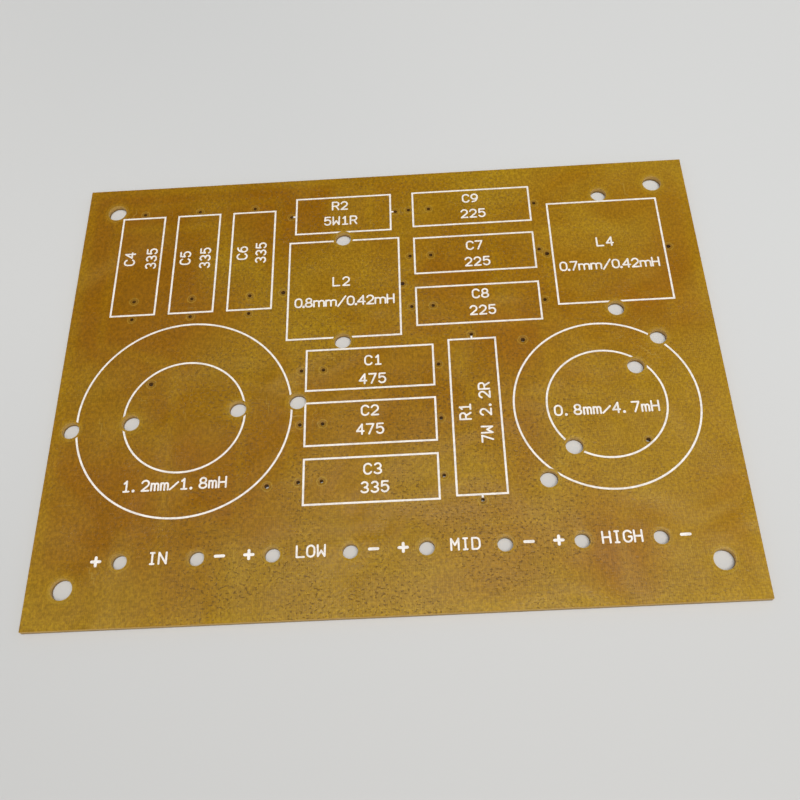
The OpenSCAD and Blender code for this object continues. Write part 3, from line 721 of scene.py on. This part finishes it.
def words(name, text, x, y, upward=False, width=None, pitch=SIGN_PITCH):
    """Text centred on a point of the board: evenly spaced signs, or signs as wide as they need."""
    if width is None:
        widths = [SIGN_W for _ in text]
        starts = [i * pitch + (DOT_SHIFT if c == "." else 0) for i, c in enumerate(text)]
        total = pitch * (len(text) - 1) + SIGN_W
    else:
        widths = [WIDTHS.get(c, SIGN_W) for c in text]
        gap = (width - sum(widths)) / (len(text) - 1)
        starts = [sum(widths[:i]) + gap * i for i in range(len(text))]
        total = width
    vertices, faces = [], []
    for sign, wide, start in zip(text, widths, starts):
        if not SIGNS[sign]:
            continue
        points, loops = sign_solid(sign, SIGN_W if sign == "." else wide)
        k = len(vertices)
        for px, py, pz in points:
            px += start - total / 2
            if upward:
                px, py = -py, px
            vertices.append(on_board(x + px, y + py, pz * MM))
        faces += [tuple(k + i for i in f) for f in loops]
    piece = make(name, vertices, faces, [INK])
    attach(piece, "root")


def polarity_marks():
    """The plus and minus signs, drawn with the broader pen they are printed with."""
    bm = welded(nodes["polarity_marks"].data)
    outlines = [np.array([v.co[:2] for v in group]) / MM for group in
                groups(set(bm.verts), lambda v: (e.other_vert(v) for e in v.link_edges))]
    bm.free()
    vertices, faces = [], []
    for low, high in sorted((tuple(p.min(0)), tuple(p.max(0))) for p in outlines):
        (cx, cy), (w, h) = np.add(low, high) / 2, np.subtract(high, low) / 2 - MARK_PEN / 2
        bars = [ribbon([(cx - w, cy), (cx + w, cy)], MARK_PEN / 2)]
        if h > MARK_PEN / 2:
            bars.append(ribbon([(cx, cy - h), (cx, cy + h)], MARK_PEN / 2))
        points, loops = joined(bars)
        faces += [tuple(len(vertices) + i for i in f) for f in loops]
        vertices += [Vector(p) * MM for p in points]
    piece = make("polarity_marks_ink", vertices, faces, [INK])
    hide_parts("polarity_marks")
    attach(piece, "root")


polarity_marks()
# Name, text, centre in board millimetres, and how it is set
UP = {"upward": True}
LABELS = [
    ("label_c4", "C4", 13, 96.7, UP), ("value_c4", "335", 18.7, 96.5, UP),
    ("label_c5", "C5", 27.7, 96.1, UP), ("value_c5", "335", 32.9, 95.8, UP),
    ("label_c6", "C6", 42.6, 96.7, UP), ("value_c6", "335", 47.5, 96.5, UP),
    ("label_r1", "R1", 98, 47.2, UP), ("value_r1", "7W 2.2R", 102.8, 46.9, UP),
    ("label_r2", "R2", 68.1, 110.6, {}), ("value_r2", "5W1R", 68.3, 105.6, {}),
    ("label_l2", "L2", 68.6, 86.1, {"pitch": 2.5}),
    ("value_l2", "0.8mm/0.42mH", 69.45, 80.1, {"width": 24.9}),
    ("label_c9", "C9", 102.9, 110.7, {}), ("value_c9", "225", 103.4, 105.6, {}),
    ("label_c7", "C7", 103.1, 95.2, {}), ("value_c7", "225", 103.6, 90.1, {}),
    ("label_c8", "C8", 103.7, 80.2, {}), ("value_c8", "225", 104, 75.3, {}),
    ("label_l4", "L4", 136.6, 94.1, {"pitch": 2.5}),
    ("value_l4", "0.7mm/0.42mH", 136.9, 87, {"width": 24.9}),
    ("label_c1", "C1", 76.5, 62.5, {}), ("value_c1", "475", 76.3, 57.4, {}),
    ("label_c2", "C2", 75.6, 48.9, {}), ("value_c2", "475", 75.6, 44, {}),
    ("label_c3", "C3", 76.1, 33.9, {}), ("value_c3", "335", 76.5, 29.4, {}),
    ("value_l1", "1.2mm|1.8mH", 30.55, 32.4, {"pitch": 2.22}),
    ("value_l3", "0.8mm|4.7mH", 130.95, 46.3, {"pitch": 2.25}),
    ("word_input", "IN", 28.4, 15, {}), ("word_woofer", "LOW", 62.3, 15, {}),
    ("word_middle", "MID", 96.2, 15, {}), ("word_tweeter", "HIGH", 130.3, 15, {}),
]
for name, text, x, y, more in LABELS:
    words(name, text, x, y, **more)


# ---------------------------------------------------------------- table, light, camera
BACKDROP = srgb(220, 220, 219)
TABLE_NEAR, TABLE_FAR = 0.24, 0.8       # metres over which the table fades into the backdrop
TABLE_HALF = 3                          # metres from the middle to each edge
LAMP_PLACE, LAMP_SIZE, LAMP_POWER = (0.22, -0.38, 1.25), (0.7, 0.6), 12.9
ROOM_COLOUR = (0.97, 0.98, 1.0, 1)
ROOM_LEVEL, ROOM_DARK, ROOM_BRIGHT = 0.44, 0.40, 1.8


def table_top():
    g = Material("pale_table")
    tone = g.noise(3, 2, 0.5)
    colour = g.mix(g.span(tone, 0.3, 0.7), srgb(205, 205, 203), srgb(211, 210, 207))
    x_at, y_at, _ = g.parts(g.object)
    # Painted light and shade: the table is darker towards the front and to the left
    nearer = g.span(y_at, -110 * MM, 40 * MM, 0.86, 1.0)
    painted_light_across = g.span(x_at, -110 * MM, 110 * MM, 0.985, 1.03)
    colour = g.times(colour, g.math("MULTIPLY", nearer, painted_light_across))
    material = g.finish(colour, 0.85, g.bump(g.noise(900, 2, 0.5), 0.02 * MM, 0.2))
    away = g.span(g.vector_math("LENGTH", g.object), TABLE_NEAR, TABLE_FAR)
    plain = g.add("ShaderNodeEmission")
    plain.inputs["Color"].default_value = (*BACKDROP, 1)
    faded = g.math("MULTIPLY", g.seen(), away)
    g.put(g.out.inputs[0], g.choose(faded, g.shader.outputs[0], plain.outputs[0]))
    return material


def room():
    """A soft pale room: a little darker up behind the board, brighter straight above it."""
    world = bpy.data.worlds.new("room")
    world.use_nodes = True
    g = Graph(world.node_tree)
    background = g.tree.nodes["Background"]
    direction = g.add("ShaderNodeTexCoord").outputs["Generated"]

    def lobe(towards, start, end):
        return g.span(g.vector_math("DOT_PRODUCT", direction, Vector(towards).normalized()),
                      start, end)

    dark = g.math("MULTIPLY", lobe((-0.1, 0.6, 0.79), 0.80, 0.97), ROOM_DARK)
    bright = g.math("MULTIPLY", lobe((-0.02, 0.2, 0.98), 0.96, 0.995), ROOM_BRIGHT)
    g.put(background.inputs[1], g.math("ADD", g.math("SUBTRACT", ROOM_LEVEL, dark), bright))
    background.inputs[0].default_value = ROOM_COLOUR
    plain = g.add("ShaderNodeBackground")
    plain.inputs[0].default_value = (*BACKDROP, 1)
    g.put(g.tree.nodes["World Output"].inputs[0],
          g.choose(g.seen(), background.outputs[0], plain.outputs[0]))
    return world


corners = [(x * TABLE_HALF, y * TABLE_HALF, 0) for x, y in ((-1, -1), (1, -1), (1, 1), (-1, 1))]
table = make("table", corners, [(0, 1, 2, 3)], [table_top()])

lamp_data = bpy.data.lights.new("overhead", "AREA")
lamp_data.shape, lamp_data.energy = "RECTANGLE", LAMP_POWER
lamp_data.size, lamp_data.size_y = LAMP_SIZE
lamp = placed("overhead", lamp_data)
lamp.location = LAMP_PLACE
lamp.rotation_mode = "QUATERNION"
lamp.rotation_quaternion = (-Vector(LAMP_PLACE)).to_track_quat("-Z", "Y")

scene.world = room()

# The photograph's camera, worked out from the board's corners and rings
camera_data = bpy.data.cameras.new("camera")
camera = placed("camera", camera_data)
camera_data.sensor_width = 36
camera_data.lens = 40.84
camera_data.shift_x = -0.0245
camera_data.clip_start = 0.01
right = Vector((0.99843, -0.03414, -0.04442)).normalized()
forward = Vector((-0.02372, 0.46061, -0.88728)).normalized()
up = right.cross(forward).normalized()
right = forward.cross(up)
pose = Matrix((right, up, -forward)).transposed().to_4x4()
pose.translation = (0.0125066, -0.1080625, 0.1923143)
camera.matrix_world = pose
scene.camera = camera
